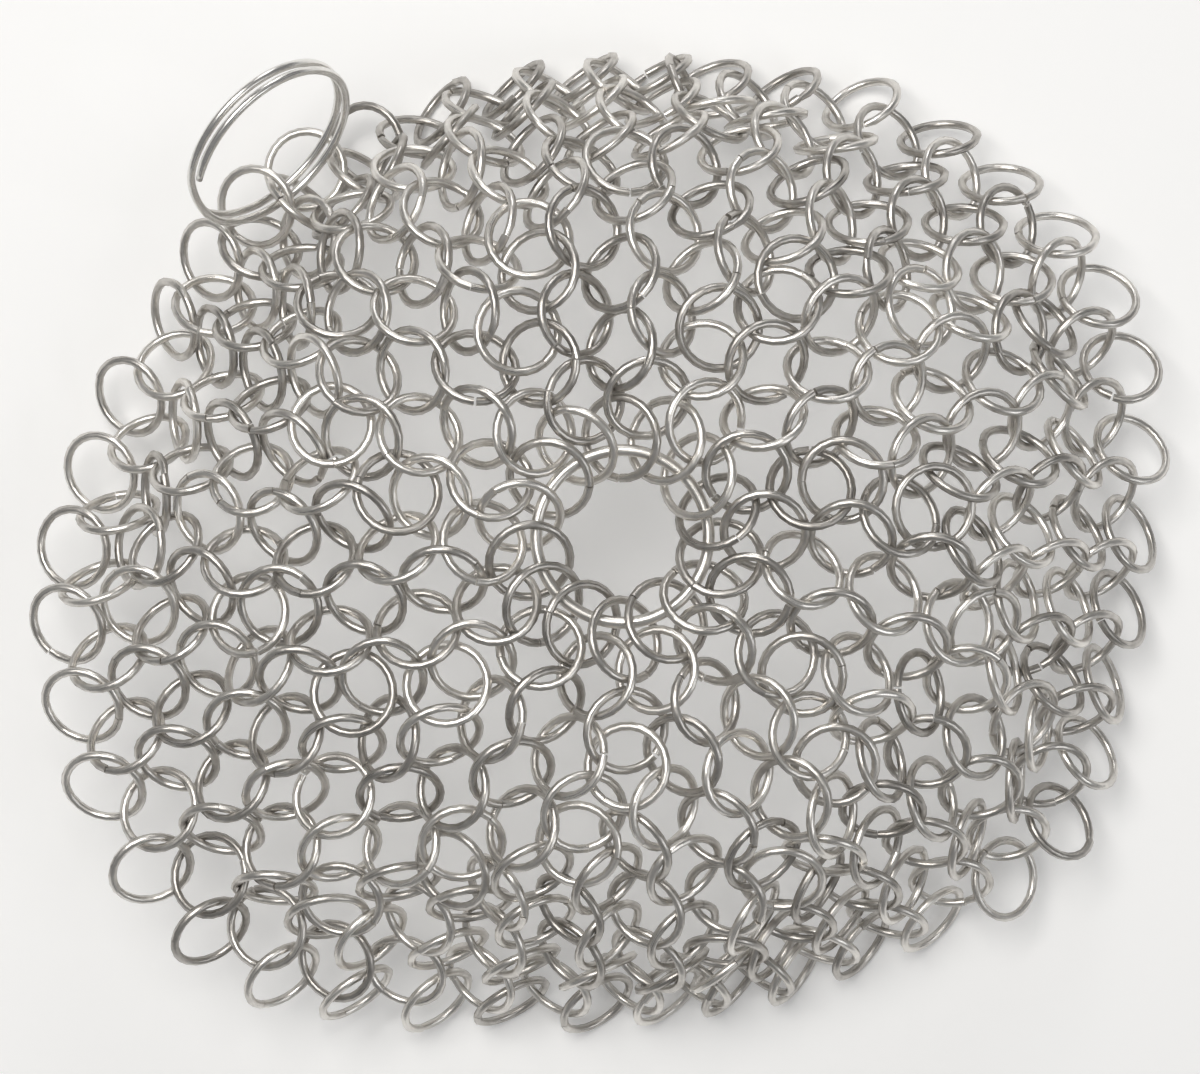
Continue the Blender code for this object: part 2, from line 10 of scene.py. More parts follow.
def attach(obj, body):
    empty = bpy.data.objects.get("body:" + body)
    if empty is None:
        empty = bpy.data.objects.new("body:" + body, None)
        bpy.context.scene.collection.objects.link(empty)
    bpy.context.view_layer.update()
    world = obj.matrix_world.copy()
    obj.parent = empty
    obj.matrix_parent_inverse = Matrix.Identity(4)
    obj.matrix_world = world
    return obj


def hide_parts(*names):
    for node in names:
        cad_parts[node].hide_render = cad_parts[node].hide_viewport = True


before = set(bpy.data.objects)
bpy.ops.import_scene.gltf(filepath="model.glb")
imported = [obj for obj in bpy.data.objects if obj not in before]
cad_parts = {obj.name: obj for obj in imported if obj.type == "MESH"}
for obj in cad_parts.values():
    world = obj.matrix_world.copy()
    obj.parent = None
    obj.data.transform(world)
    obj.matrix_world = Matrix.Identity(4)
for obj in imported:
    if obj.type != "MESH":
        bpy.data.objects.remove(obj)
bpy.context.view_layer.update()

# %% [markdown]
# The scrubber is 371 small rings of stainless wire, a thicker ring in the middle and a split ring at the
# edge to hang it by. A cloth simulation with a ring on every face would be quick to set up, but cloth
# doesn't know that wires pass through each other. So the rings are laid out as rigid hoops that push each
# other apart, in the same way as in the solid model, and each fine ring comes to lie where its plain ring
# lies.

# %% Ring sizes
RING_OUTER_DIAMETER = 0.0106
RING_WIRE = 0.0010
CENTRE_RING_DIAMETER = 0.0202
CENTRE_RING_WIRE = 0.00145
SPLIT_RING_DIAMETER = 0.0226
SPLIT_RING_WIRE = 0.0010
SPLIT_RING_COIL_GAP = 0.0005

RING_RADIUS = (RING_OUTER_DIAMETER - RING_WIRE) / 2
CENTRE_RING_RADIUS = CENTRE_RING_DIAMETER / 2
SPLIT_RING_RADIUS = SPLIT_RING_DIAMETER / 2

print("a small ring is", RING_RADIUS * 2, "m across the middle of its wire")

# %% [markdown]
# The mail is woven four in one: a ring passes through two rings of the row inside and two of the row
# outside. To stay flat, a round mail has to grow. Seven rings are added in every second row or so, and each
# of them hangs on only one ring of the row inside. The pattern is a list of ring numbers, so that the links
# can be counted later.

# %% Rows and links
ROW_COUNTS = (14, 14, 14, 21, 21, 28, 28, 35, 35, 35, 42, 42, 42)
LAST_ROW = len(ROW_COUNTS) - 1
SECTORS = 7
EVENING = 0.35


def mail_rows():
    """Ring numbers and angles of each row, and the pairs that are linked; 0 is the centre ring."""
    rows, links, last = [], [], 0
    for row, count in enumerate(ROW_COUNTS):
        if row == 0:
            angles = [(i + 0.5) * 2 * pi / count for i in range(count)]
            ids = list(range(1, count + 1))
            links += [(0, ring) for ring in ids]
        else:
            inner_ids, inner = rows[-1]
            added = count - len(inner)
            start = len(inner) // (2 * SECTORS) if row % 4 == 3 else 0
            carriers = {start + i * len(inner) // SECTORS for i in range(added)}
            ids, angles = [], []
            for i, angle in enumerate(inner):
                after = (i + 1) % len(inner)
                halfway = angle + ((inner[after] - angle) % (2 * pi)) / 2
                if i in carriers:
                    ids.append(last + len(ids) + 1)
                    angles.append(angle)
                    links.append((inner_ids[i], ids[-1]))
                ids.append(last + len(ids) + 1)
                angles.append(halfway)
                links += [(inner_ids[i], ids[-1]), (inner_ids[after], ids[-1])]
            even = np.arange(count) * 2 * pi / count
            even += np.mean(np.array(angles) - even)
            angles = list((1 - EVENING) * np.array(angles) + EVENING * even)
        last = ids[-1]
        rows.append((ids, angles))
    return rows, links


print(sum(len(ids) for ids, angles in mail_rows()[0]), "small rings,", len(mail_rows()[1]), "links")

# %% [markdown]
# A real ring of drawn wire hardly bends, so each one is a rigid hoop with a centre, a direction across and
# a normal. Blender's rigid bodies could do this, but thin hoops tend to slip through each other there. Here
# each wire is a row of points, and the nearest point on every neighbour's wire is worked out exactly, so no
# link opens.

# %% Rings as rigid hoops
RING_SEGMENTS = 6


class Hoops:
    """The rings as rigid hoops: centre, two directions in the plane and many-sided path of each."""

    def __init__(self, count, corners):
        self.corners = corners
        self.centre = np.zeros((count, 3))
        self.across = np.zeros((count, 3))
        self.normal = np.zeros((count, 3))
        self.radius = np.full(count, RING_RADIUS)
        self.wire = np.full(count, RING_WIRE)
        self.sides = np.full(count, RING_SEGMENTS)
        self.free = np.ones(count)

    def along(self):
        """The second direction in each ring's plane."""
        return np.cross(self.normal, self.across)

    def corner_radius(self):
        """Radius to the path's corners, so that its sides cross the true circle evenly."""
        return self.radius * (1 + 1 / np.cos(pi / self.sides)) / 2

    def square_up(self):
        """Makes both directions unit length again and square to each other."""
        self.normal /= np.linalg.norm(self.normal, axis=1, keepdims=True)
        self.across -= np.sum(self.across * self.normal, axis=1, keepdims=True) * self.normal
        self.across /= np.linalg.norm(self.across, axis=1, keepdims=True)

    def spots(self):
        """Every corner of each ring's solid."""
        axes = np.stack([self.across, self.along(), self.normal], axis=1)
        return self.centre[:, None] + self.corners[None] @ axes

    def lows(self):
        """Height of the lowest corner of each ring's solid."""
        return self.spots()[..., 2].min(axis=1)

    def path(self, samples):
        """Points along every wire's path, the same number on each side of it."""
        step = np.arange(samples) / samples
        side = 2 * pi / self.sides[:, None]
        turn = step[None] * 2 * pi
        middle = (np.floor(turn / side) + 0.5) * side
        radius = self.corner_radius()[:, None] * np.cos(side / 2) / np.cos(turn - middle)
        return (self.centre[:, None] + (radius * np.cos(turn))[..., None] * self.across[:, None]
                + (radius * np.sin(turn))[..., None] * self.along()[:, None])

    def nearest(self, rings, points):
        """The nearest points of the given rings' paths to the given points."""
        offset = points - self.centre[rings][:, None]
        across, along = self.across[rings][:, None], self.along()[rings][:, None]
        x, y = np.sum(offset * across, axis=2), np.sum(offset * along, axis=2)
        side = 2 * pi / self.sides[rings][:, None]
        middle = (np.floor(np.arctan2(y, x) / side) + 0.5) * side
        corner = self.corner_radius()[rings][:, None]
        out = corner * np.cos(side / 2)
        half = corner * np.sin(side / 2)
        slide = np.clip(y * np.cos(middle) - x * np.sin(middle), -half, half)
        flat_x = out * np.cos(middle) - slide * np.sin(middle)
        flat_y = out * np.sin(middle) + slide * np.cos(middle)
        return self.centre[rings][:, None] + flat_x[..., None] * across + flat_y[..., None] * along

# %% [markdown]
# Where two wires are nearer than their gap, both rings move and turn by as much as rigid hoops would when
# pushed at that point. Many small pushes are steadier than a few large ones, so each round's move and turn
# are limited.

# %% Pushing the rings apart
LIST_ROUNDS = 20
LIST_REACH = 3 * RING_WIRE
DEEPEST_PUSH = RING_WIRE / 2
DEEPEST_PULL = RING_WIRE / 4
TOUCHING = RING_WIRE / 1000
PULL_STEP = RING_WIRE / 60
FURTHEST_MOVE = RING_WIRE * 0.25
FURTHEST_TURN = 0.05
EASING = 1.3
CROWDING = 0.75
TINY = 1e-12


def push_apart(hoops, gaps, rounds, targets=None, pull=0.0, fused=None, samples=28, floor=None):
    """Moves and turns the rings like rigid hoops for the given rounds, where wires are nearer than their gap.
    """
    for step in range(rounds):
        if step % LIST_ROUNDS == 0:
            apart = np.linalg.norm(hoops.centre[:, None] - hoops.centre[None], axis=2)
            near = np.triu(apart < hoops.radius[:, None] + hoops.radius[None] + LIST_REACH, 1)
            one, two = np.nonzero(near)
            first, second = np.concatenate([one, two]), np.concatenate([two, one])
            need = (hoops.wire[first] + hoops.wire[second]) / 2 + gaps[first, second]
            held = fused[first, second] if fused is not None else np.zeros(len(first), dtype=bool)
        points = hoops.path(samples)[first]
        nearest = hoops.nearest(second, points)
        distance = np.linalg.norm(points - nearest, axis=2)
        depth = np.clip(need[:, None] - distance, 0, DEEPEST_PUSH)
        closest = np.argmin(distance[held], axis=1)
        rows = np.nonzero(held)[0]
        depth[rows, closest] = np.clip(need[rows] - distance[rows, closest], -DEEPEST_PULL, DEEPEST_PUSH)
        pair, spot = np.nonzero(depth)
        move, turn = np.zeros_like(hoops.centre), np.zeros_like(hoops.centre)
        hits = np.zeros(len(hoops.centre))
        a, b = first[pair], second[pair]
        p, q = points[pair, spot], nearest[pair, spot]
        away = (p - q) / np.maximum(distance[pair, spot], TOUCHING)[:, None]
        arm_a, arm_b = np.cross(p - hoops.centre[a], away), np.cross(q - hoops.centre[b], away)
        ease_a, ease_b = 2 / hoops.radius[a] ** 2, 2 / hoops.radius[b] ** 2
        give = (hoops.free[a] * (1 + np.sum(arm_a ** 2, axis=1) * ease_a)
                + hoops.free[b] * (1 + np.sum(arm_b ** 2, axis=1) * ease_b))
        share = depth[pair, spot] / np.maximum(give, 1)
        np.add.at(move, a, share[:, None] * away)
        np.add.at(move, b, -share[:, None] * away)
        np.add.at(turn, a, (share * ease_a)[:, None] * arm_a)
        np.add.at(turn, b, -(share * ease_b)[:, None] * arm_b)
        np.add.at(hits, a, 1)
        np.add.at(hits, b, 1)
        easing = EASING * hoops.free[:, None] / np.maximum(hits, 1)[:, None] ** CROWDING
        move *= easing
        turn *= easing
        if targets is not None:
            reach = np.clip(pull * (targets - hoops.centre), -PULL_STEP, PULL_STEP)
            move += hoops.free[:, None] * reach
        length = np.linalg.norm(move, axis=1, keepdims=True)
        hoops.centre += move * np.minimum(1, FURTHEST_MOVE / np.maximum(length, TINY))
        angle = np.linalg.norm(turn, axis=1, keepdims=True)
        turn *= np.minimum(1, FURTHEST_TURN / np.maximum(angle, TINY))
        hoops.normal += np.cross(turn, hoops.normal)
        hoops.across += np.cross(turn, hoops.across)
        hoops.square_up()
        if floor is not None:
            hoops.centre[:, 2] += np.maximum(floor - hoops.lows(), 0) * hoops.free

# %% [markdown]
# The mail doesn't lie flat. It lies level round its middle and falls to all sides over a soft, uneven rise.
# The outline of its edge in plan is given at some angles and smoothed between them. Low rounded ridges
# under the mail give it its folds.

# %% The rise under the mail
EDGE_REACH = ((2, 0.889), (28, 0.923), (40, 0.915), (50, 0.881), (60, 0.881), (70, 0.813), (80, 0.736),
              (92, 0.7), (110, 0.7), (120, 0.7), (130, 0.753), (142, 0.83), (155, 0.855), (168, 0.889),
              (185, 0.958), (198, 0.979), (226, 0.974), (240, 0.915), (250, 0.855), (263, 0.804),
              (280, 0.787), (297, 0.813), (312, 0.873), (324, 0.915), (342, 0.873))
REACH_SMOOTHING = 40
SLIM_RIDGES = (((-0.007, 0.024), (0.041, 0.063)), ((0.012, 0.012), (0.070, 0.042)),
               ((0.017, -0.007), (0.074, 0.014)), ((0.009, -0.032), (0.066, -0.040)))
SLIM_RIDGE_HEIGHT = 0.0020
SLIM_RIDGE_WIDTH = 0.0065
BROAD_RIDGE = ((-0.046, 0.020), (-0.044, 0.062))
BROAD_RIDGE_HEIGHT = 0.012
BROAD_RIDGE_WIDTH = 0.015


def smooth_reach():
    """How far the mail's edge reaches in plan at every degree, as a share of its flat radius."""
    angles = [angle for angle, _ in EDGE_REACH]
    shares = [share for _, share in EDGE_REACH]
    angles = [angles[-1] - 360] + angles + [angles[0] + 360]
    shares = [shares[-1]] + shares + [shares[0]]
    reach = np.interp(np.arange(360), angles, shares)
    for _ in range(REACH_SMOOTHING):
        reach = (np.roll(reach, 1) + 2 * reach + np.roll(reach, -1)) / 4
    return reach


def ridge(x, y, ends, height, width):
    """Height that a rounded ridge along a line adds at the given places."""
    (x0, y0), (x1, y1) = ends
    run = ((x - x0) * (x1 - x0) + (y - y0) * (y1 - y0)) / ((x1 - x0) ** 2 + (y1 - y0) ** 2)
    run = np.clip(run, 0, 1)
    off = np.hypot(x - x0 - run * (x1 - x0), y - y0 - run * (y1 - y0))
    return height * np.exp(-(off / width) ** 2)


print(f"the edge is drawn in to {smooth_reach().min():.3f} of its flat radius where it falls most")

# %% [markdown]
# A woven sheet of rings bends but hardly stretches. Each line from the middle to the edge therefore keeps
# its length: it runs level, goes round a bend and then falls straight. The steeper the bend, the less far
# the edge reaches, and halving finds the bend that brings the edge to its place.

# %% Bending a line of mail down
CROWN_REACH = 0.022
BEND_RADIUS = 0.036
STEEPEST_BEND = 100
BEND_HALVINGS = 24


def fall(run, bend):
    """How far out and how far down the mail lies after a length over the bend."""
    past = np.maximum(run - CROWN_REACH, 0)
    arc = np.minimum(past, BEND_RADIUS * bend)
    turn = arc / BEND_RADIUS
    rest = past - arc
    plan = np.minimum(run, CROWN_REACH) + BEND_RADIUS * np.sin(turn) + rest * np.cos(bend)
    return plan, BEND_RADIUS * (1 - np.cos(turn)) + rest * np.sin(bend)


def bend_angle(out, flat_radius):
    """The bend after which the edge lies at the given share of the flat radius."""
    low, high = np.zeros_like(out), np.full_like(out, radians(STEEPEST_BEND))
    for step in range(BEND_HALVINGS):
        middle = (low + high) / 2
        near = fall(np.full_like(out, flat_radius), middle)[0] < out * flat_radius
        low, high = np.where(near, low, middle), np.where(near, middle, high)
    return low

# %% [markdown]
# The same bend, taken only a share of the way, gives every stage between the flat mail and the draped one.
# The normals come from the surface a short step to each side, and each ring leans with the surface it lies
# on.

# %% The draped surface
def drape(flat, share, reach, flat_radius):
    """Where points of the flat mail come to lie, each radius bent down evenly a share of the way."""
    angle = np.degrees(np.arctan2(flat[:, 1], flat[:, 0])) % 360
    out = np.interp(angle, np.arange(361), np.append(reach, reach[0]))
    run = np.hypot(flat[:, 0], flat[:, 1])
    bend = share * bend_angle(out, flat_radius)
    plan, drop = fall(run, bend)
    deepest = fall(np.full(1, flat_radius), share * bend_angle(np.array([reach.min()]), flat_radius))[1][0]
    x, y = flat[:, 0] * plan / np.maximum(run, TINY), flat[:, 1] * plan / np.maximum(run, TINY)
    z = deepest - drop
    u = run / flat_radius
    for ends in SLIM_RIDGES:
        z += share * ridge(x, y, ends, SLIM_RIDGE_HEIGHT, SLIM_RIDGE_WIDTH) * (1 - np.minimum(u, 1) ** 4)
    z = np.maximum(z, share * ridge(x, y, BROAD_RIDGE, BROAD_RIDGE_HEIGHT, BROAD_RIDGE_WIDTH))
    return np.stack([x, y, z], axis=1)


def drape_normals(flat, share, reach, flat_radius):
    """The draped surface's normal at each point of the flat mail."""
    step = np.array([RING_RADIUS / 2, 0, 0])
    side = step[[1, 0, 2]]
    dx = drape(flat + step, share, reach, flat_radius) - drape(flat - step, share, reach, flat_radius)
    dy = drape(flat + side, share, reach, flat_radius) - drape(flat - side, share, reach, flat_radius)
    normal = np.cross(dx, dy)
    return normal / np.linalg.norm(normal, axis=1, keepdims=True)


def turned(vectors, old, new):
    """Vectors turned by the shortest turn from the old normal to the new one."""
    axis = np.cross(old, new)
    cosine = np.sum(old * new, axis=1, keepdims=True)
    swing = axis * np.sum(axis * vectors, axis=1, keepdims=True) / (1 + cosine)
    return vectors * cosine + np.cross(axis, vectors) + swing

# %% [markdown]
# In the solid model, seven wedges of rings are fused at links, and the edge row stays loose. The same
# sharing is needed here, because fused rings bear on each other while loose ones keep a gap.

# %% Sharing the rings out to wedges
def share_out(rows, links):
    """The wedge that each ring of the inner rows is fused into, and the links that are fused."""
    inner_of = {}
    for inner, outer in links:
        inner_of.setdefault(outer, []).append(inner)
    sector, fused = {}, []
    for row, (ids, angles) in enumerate(rows[:-1]):
        for i, (ring, angle) in enumerate(zip(ids, angles)):
            if row == 0:
                sector[ring] = i * SECTORS // len(ids)
                continue
            wanted = int((angle - rows[0][1][0] + pi / ROW_COUNTS[0]) % (2 * pi) / (2 * pi) * SECTORS)
            choices = [sector[inner] for inner in inner_of[ring]]
            sector[ring] = wanted if wanted in choices else choices[0]
            same = [inner for inner in inner_of[ring] if sector[inner] == sector[ring]]
            fused += [(inner, ring) for inner in (same[-1:] if row == 1 else same if row < 4 else same[:1])]
    return sector, fused

# %% [markdown]
# Mail is woven ring by ring, by opening each ring and closing it through its neighbours. A computer can
# start with the rings closed, if they overlap in the right way: small circles, close together, that lean in
# and out by turns. From there they only have to be pushed apart.

# %% The flat linked pattern
FIRST_ROW_RADIUS = 0.0131
ROW_STEP = 0.0051
START_LEAN = 10
START_ROLL = 35
START_SHARE = 0.9
START_CLEAR = 1.8


def start_linked(rows, hoops):
    """Sets the flat pattern close together, where every ring already passes through its neighbours."""
    flat = np.zeros_like(hoops.centre)
    hoops.normal[:] = (0, 0, 1)
    hoops.across[:] = (1, 0, 0)
    lean, roll = radians(START_LEAN), radians(START_ROLL)
    for row, (ids, angles) in enumerate(rows):
        flat_radius = FIRST_ROW_RADIUS + ROW_STEP * row
        radius = max(START_SHARE * flat_radius, CENTRE_RING_RADIUS + START_CLEAR * RING_WIRE)
        side = 1 if row % 2 == 0 else -1
        for ring, angle in zip(ids, angles):
            radial = np.array((cos(angle), sin(angle), 0))
            tangent = np.array((-sin(angle), cos(angle), 0))
            upward = np.array((0, 0, cos(lean))) + side * sin(lean) * radial
            hoops.normal[ring] = upward * cos(roll) + side * sin(roll) * tangent
            hoops.across[ring] = radial
            hoops.centre[ring] = radius * radial
            flat[ring] = flat_radius * radial
    hoops.square_up()
    return flat

# %% [markdown]
# The flat mail is laid over the rise in fifty small steps. After each one the rings make room for each
# other, so that no wire jumps over another. At the end the mail sinks a little and comes to rest.

# %% Draping the rings
EDGE_LIFT = 0.0026
DRAPE_TAKE_UP = 0.01
DRAPE_STAGES = 50
DRAPE_PUSHES = 12
DRAPE_PULL = 0.015
SINK_ROUNDS = 60
SINK_PULL = 0.004
REST_ROUNDS = 120


def drape_rings(rows, hoops, gaps):
    """Lays the flat mail over the rise in small steps, letting the rings make room after each."""
    split = len(hoops.centre) - 1
    edge = rows[LAST_ROW][0]
    flat_radius = np.hypot(hoops.centre[edge, 0], hoops.centre[edge, 1]).mean()
    reach = smooth_reach()
    flat, lift = hoops.centre.copy(), hoops.centre[:, 2:].copy()
    flat[:, 2] = 0
    flat[split] = flat[0]
    hoops.centre[:, 2] += EDGE_LIFT
    old_normal = np.tile([0.0, 0.0, 1.0], (split + 1, 1))
    old_place = hoops.centre.copy()
    for stage in range(1, DRAPE_STAGES + 1):
        share = stage / DRAPE_STAGES
        normal = drape_normals(flat, share, reach, flat_radius)
        normal[[0, split]] = (0, 0, 1)
        laid = flat * (1 - DRAPE_TAKE_UP * share)
        place = drape(laid, share, reach, flat_radius) + lift * normal + (0, 0, EDGE_LIFT)
        place[split] = old_place[split]
        hoops.normal = turned(hoops.normal, old_normal, normal)
        hoops.across = turned(hoops.across, old_normal, normal)
        hoops.square_up()
        hoops.centre += place - old_place
        old_place, old_normal = place, normal
        push_apart(hoops, gaps, DRAPE_PUSHES, place, DRAPE_PULL, floor=0.0)
    push_apart(hoops, gaps, SINK_ROUNDS, old_place - (0, 0, RING_WIRE / 2), SINK_PULL, floor=0.0)
    push_apart(hoops, gaps, REST_ROUNDS, floor=0.0)

# %% [markdown]
# The split ring stands up from two rings of the edge. It starts as a thin hoop through both of them and
# swells to its full coil in a few openings, which shoves its two holders to where they have room.

# %% Hanging the split ring
SPLIT_RING_ANGLE = 134
SPLIT_RING_LEAN = 22
SPLIT_RING_SEGMENTS = 16
HANGING_OPENINGS = (-1.2, -0.8, -0.4, 0.0, 0.3)
OPENING_ROUNDS = 30


def hang_split_ring(rows, hoops, gaps):
    """Sets the split ring upright at the mail's edge, through the two edge rings nearest its place."""
    edge, split = rows[LAST_ROW][0], len(hoops.centre) - 1
    place = np.array((cos(radians(SPLIT_RING_ANGLE)), sin(radians(SPLIT_RING_ANGLE))))
    heading = hoops.centre[edge, :2] / np.linalg.norm(hoops.centre[edge, :2], axis=1, keepdims=True)
    first = int(np.argmax(heading @ place))
    neighbours = ((first - 1) % len(edge), (first + 1) % len(edge))
    second = max(neighbours, key=lambda i: heading[i] @ place)
    holders = sorted((edge[first], edge[second]))
    one, two = hoops.centre[holders[0]], hoops.centre[holders[1]]
    chord = two - one
    level = chord / np.linalg.norm(chord)
    outward = np.array((place[0], place[1], 0))
    upward = cos(radians(SPLIT_RING_LEAN)) * np.array((0, 0, 1)) + sin(radians(SPLIT_RING_LEAN)) * outward
    upward -= (upward @ level) * level
    upward /= np.linalg.norm(upward)
    rise = np.sqrt(SPLIT_RING_RADIUS ** 2 - (np.linalg.norm(chord) / 2) ** 2)
    hoops.centre[split] = (one + two) / 2 + rise * upward
    hoops.across[split] = upward
    hoops.normal[split] = np.cross(upward, level)
    hoops.radius[split] = SPLIT_RING_RADIUS
    hoops.wire[split] = 2 * SPLIT_RING_WIRE + SPLIT_RING_COIL_GAP
    hoops.sides[split] = 2 * SPLIT_RING_SEGMENTS
    hoops.square_up()
    for opening in HANGING_OPENINGS:
        push_apart(hoops, np.minimum(gaps, opening * RING_WIRE), OPENING_ROUNDS, floor=0.0)
    return holders

# %% [markdown]
# All the steps in their order: link, spread, drape, hang, settle and fuse. Fusing is done in four steps
# too, as rings that are pulled together at once can slip past each other.

# %% The whole layout
RUNNING_GAP = 0.00042
RESTING_GAP = 0.00026
FUSED_DEPTH = 0.00045
EDGE_RING_LIFT = 0.0002
FLAT_SPREAD = 0.9
FIRST_OPENINGS = (-0.6, -0.4, -0.2, 0.0, 0.15, 0.3)
SPREAD_STAGES = 8
SPREAD_ROUNDS = 40
SPREAD_PULL = 0.02
FUSING_STEPS = ((0, 30), (0.4, 40), (0.7, 40), (1, 150))
FUSING_PULL = 0.012
FUSING_SAMPLES = 56
CENTRE_RING_SEGMENTS = 24


def stray_rings(hoops, fused_links):
    """Rings that others keep from sinking into the ring they are fused to."""
    one, two = np.array(fused_links).T
    points = hoops.path(FUSING_SAMPLES)[one]
    reach = np.linalg.norm(points - hoops.nearest(two, points), axis=2).min(axis=1)
    stray = reach > RING_WIRE - FUSED_DEPTH / 2
    return {*one[stray].tolist(), *two[stray].tolist()}


def lay_out(corners):
    """Places every ring: linked flat pattern, spread, draped, hung in the split ring, settled and fused."""
    rows, links = mail_rows()
    sector, fused_links = share_out(rows, links)
    split = 1 + sum(ROW_COUNTS)
    hoops = Hoops(split + 1, corners)
    hoops.radius[0], hoops.wire[0] = CENTRE_RING_RADIUS, CENTRE_RING_WIRE
    hoops.sides[0], hoops.free[[0, split]] = CENTRE_RING_SEGMENTS, 0
    flat_targets = start_linked(rows, hoops)
    hoops.centre[split] = (1, 1, 1)
    gaps = np.full((split + 1, split + 1), RUNNING_GAP)
    for opening in FIRST_OPENINGS:
        push_apart(hoops, np.full_like(gaps, opening * RING_WIRE), OPENING_ROUNDS)
    begin = hoops.centre.copy()
    for stage in range(1, SPREAD_STAGES + 1):
        spread = begin + FLAT_SPREAD * stage / SPREAD_STAGES * (flat_targets - begin)
        push_apart(hoops, gaps, SPREAD_ROUNDS, spread, SPREAD_PULL)
    drape_rings(rows, hoops, gaps)
    holders = hang_split_ring(rows, hoops, gaps)
    owner = np.full(split + 1, -1)
    owner[list(sector)] = list(sector.values())
    together = (owner[:, None] == owner[None]) & (owner[:, None] >= 0)
    gaps[together] = RESTING_GAP
    fused = np.zeros_like(together)
    for one, two in fused_links:
        fused[one, two] = fused[two, one] = True
    floor = np.where(owner >= 0, 0.0, EDGE_RING_LIFT)
    resting = hoops.centre.copy()
    resting[rows[LAST_ROW - 1][0], 2] -= 2 * RING_WIRE
    for share, rounds in FUSING_STEPS:
        gaps[fused] = -share * FUSED_DEPTH
        push_apart(hoops, gaps, rounds, resting, FUSING_PULL, fused, FUSING_SAMPLES, floor)
    while stray := stray_rings(hoops, fused_links):
        more = [(one, two) for one, two in links
                if together[one, two] and not fused[one, two] and {one, two} & stray]
        if not more:
            break
        for one, two in more:
            fused[one, two] = fused[two, one] = True
        fused_links += more
        gaps[fused] = -FUSED_DEPTH
        push_apart(hoops, gaps, rounds, resting, FUSING_PULL, fused, FUSING_SAMPLES, floor)
    return rows, links, sector, fused_links, holders, hoops

# %% [markdown]
# The lowest wires of the solid rings are cut flat by a tenth of a millimetre, to stand on. The corners of a
# ring tell how low it reaches.

# %% Standing on the floor
REST_FLAT_DEPTH = 0.0001


def ring_corners(reach, wire, segments, sides):
    """Points round the wire of a ring that lies flat."""
    corners = []
    for i in range(segments):
        turn = 2 * pi * i / segments
        for j in range(sides):
            round_wire = 2 * pi * j / sides
            out = reach + wire / 2 * cos(round_wire)
            corners.append((out * cos(turn), out * sin(turn), wire / 2 * sin(round_wire)))
    return np.array(corners)


def settle_on_floor(hoops):
    """Centres the mail over the origin and lowers it until its lowest wires reach the cut of their flats."""
    mail = hoops.spots()[1:-1].reshape(-1, 3)
    hoops.centre[:, :2] -= (mail.max(axis=0) + mail.min(axis=0))[:2] / 2
    hoops.centre[:, 2] -= hoops.lows()[1:-1].min() + REST_FLAT_DEPTH
    return int((hoops.lows()[1:-1] < -REST_FLAT_DEPTH / 2).sum())

# %% [markdown]
# First the rings are laid out as in the solid model, with its six-sided rings of three-sided wire.

# %% Laying out the plain rings
FACET_SWELL = 1.25
WIRE_SIDES = 3

plain_reach = RING_RADIUS * (1 + 1 / cos(pi / RING_SEGMENTS)) / 2
plain_corners = ring_corners(plain_reach, RING_WIRE * FACET_SWELL, RING_SEGMENTS, WIRE_SIDES)
rows, links, sector, fused_links, holders, hoops = lay_out(plain_corners)
standing = settle_on_floor(hoops)
print(len(links), "links,", len(fused_links), "of them fused;", standing, "rings stand on the floor")

# %% [markdown]
# Then the wires become round, and the rings move by the last fractions of a millimetre until they only
# touch. The edge rings keep more room than the others, because they flip. A light pull keeps each ring near
# its solid one.

# %% Rounding the wires
ROUND_WIRE = 0.0011
TOUCH_GAP = 0.00006
FLIP_GAP = 0.00033
ROUND_SIDES = 64
ROUND_CORNERS = (48, 8)
ROUND_SAMPLES = 40
ROUND_ROUNDS = 220
ROUND_PULL = 0.003

plain_centres = hoops.centre.copy()
hoops.sides[:] = ROUND_SIDES
hoops.wire[1:-1] = ROUND_WIRE
hoops.corners = ring_corners(RING_RADIUS, ROUND_WIRE, *ROUND_CORNERS)
room = np.full((len(hoops.centre),) * 2, TOUCH_GAP)
room[rows[LAST_ROW][0]] = FLIP_GAP
room[:, rows[LAST_ROW][0]] = FLIP_GAP
push_apart(hoops, room, ROUND_ROUNDS, plain_centres, ROUND_PULL, samples=ROUND_SAMPLES, floor=0.0)
moved = np.linalg.norm(hoops.centre - plain_centres, axis=1) * 1000
print(f"rings moved by {moved.mean():.2f} mm on average and {moved.max():.2f} mm at most")

# %% [markdown]
# A hoop's plane and centre as a matrix, which takes a ring that was modelled lying at the origin to its
# place.

# %% Where a ring lies
def ring_matrix(ring):
    """Where a ring lies: its plane's two directions, its normal and its centre."""
    axes = np.stack([hoops.across[ring], hoops.along()[ring], hoops.normal[ring]], axis=1)
    return Matrix.Translation(Vector(hoops.centre[ring])) @ Matrix(axes.tolist()).to_4x4()

# %% [markdown]
# The noise that draws the lines on the wire needs UVs that run along the wire and round it. Each corner is
# measured from the middle of its own face, so that no face is torn where the angle starts again.

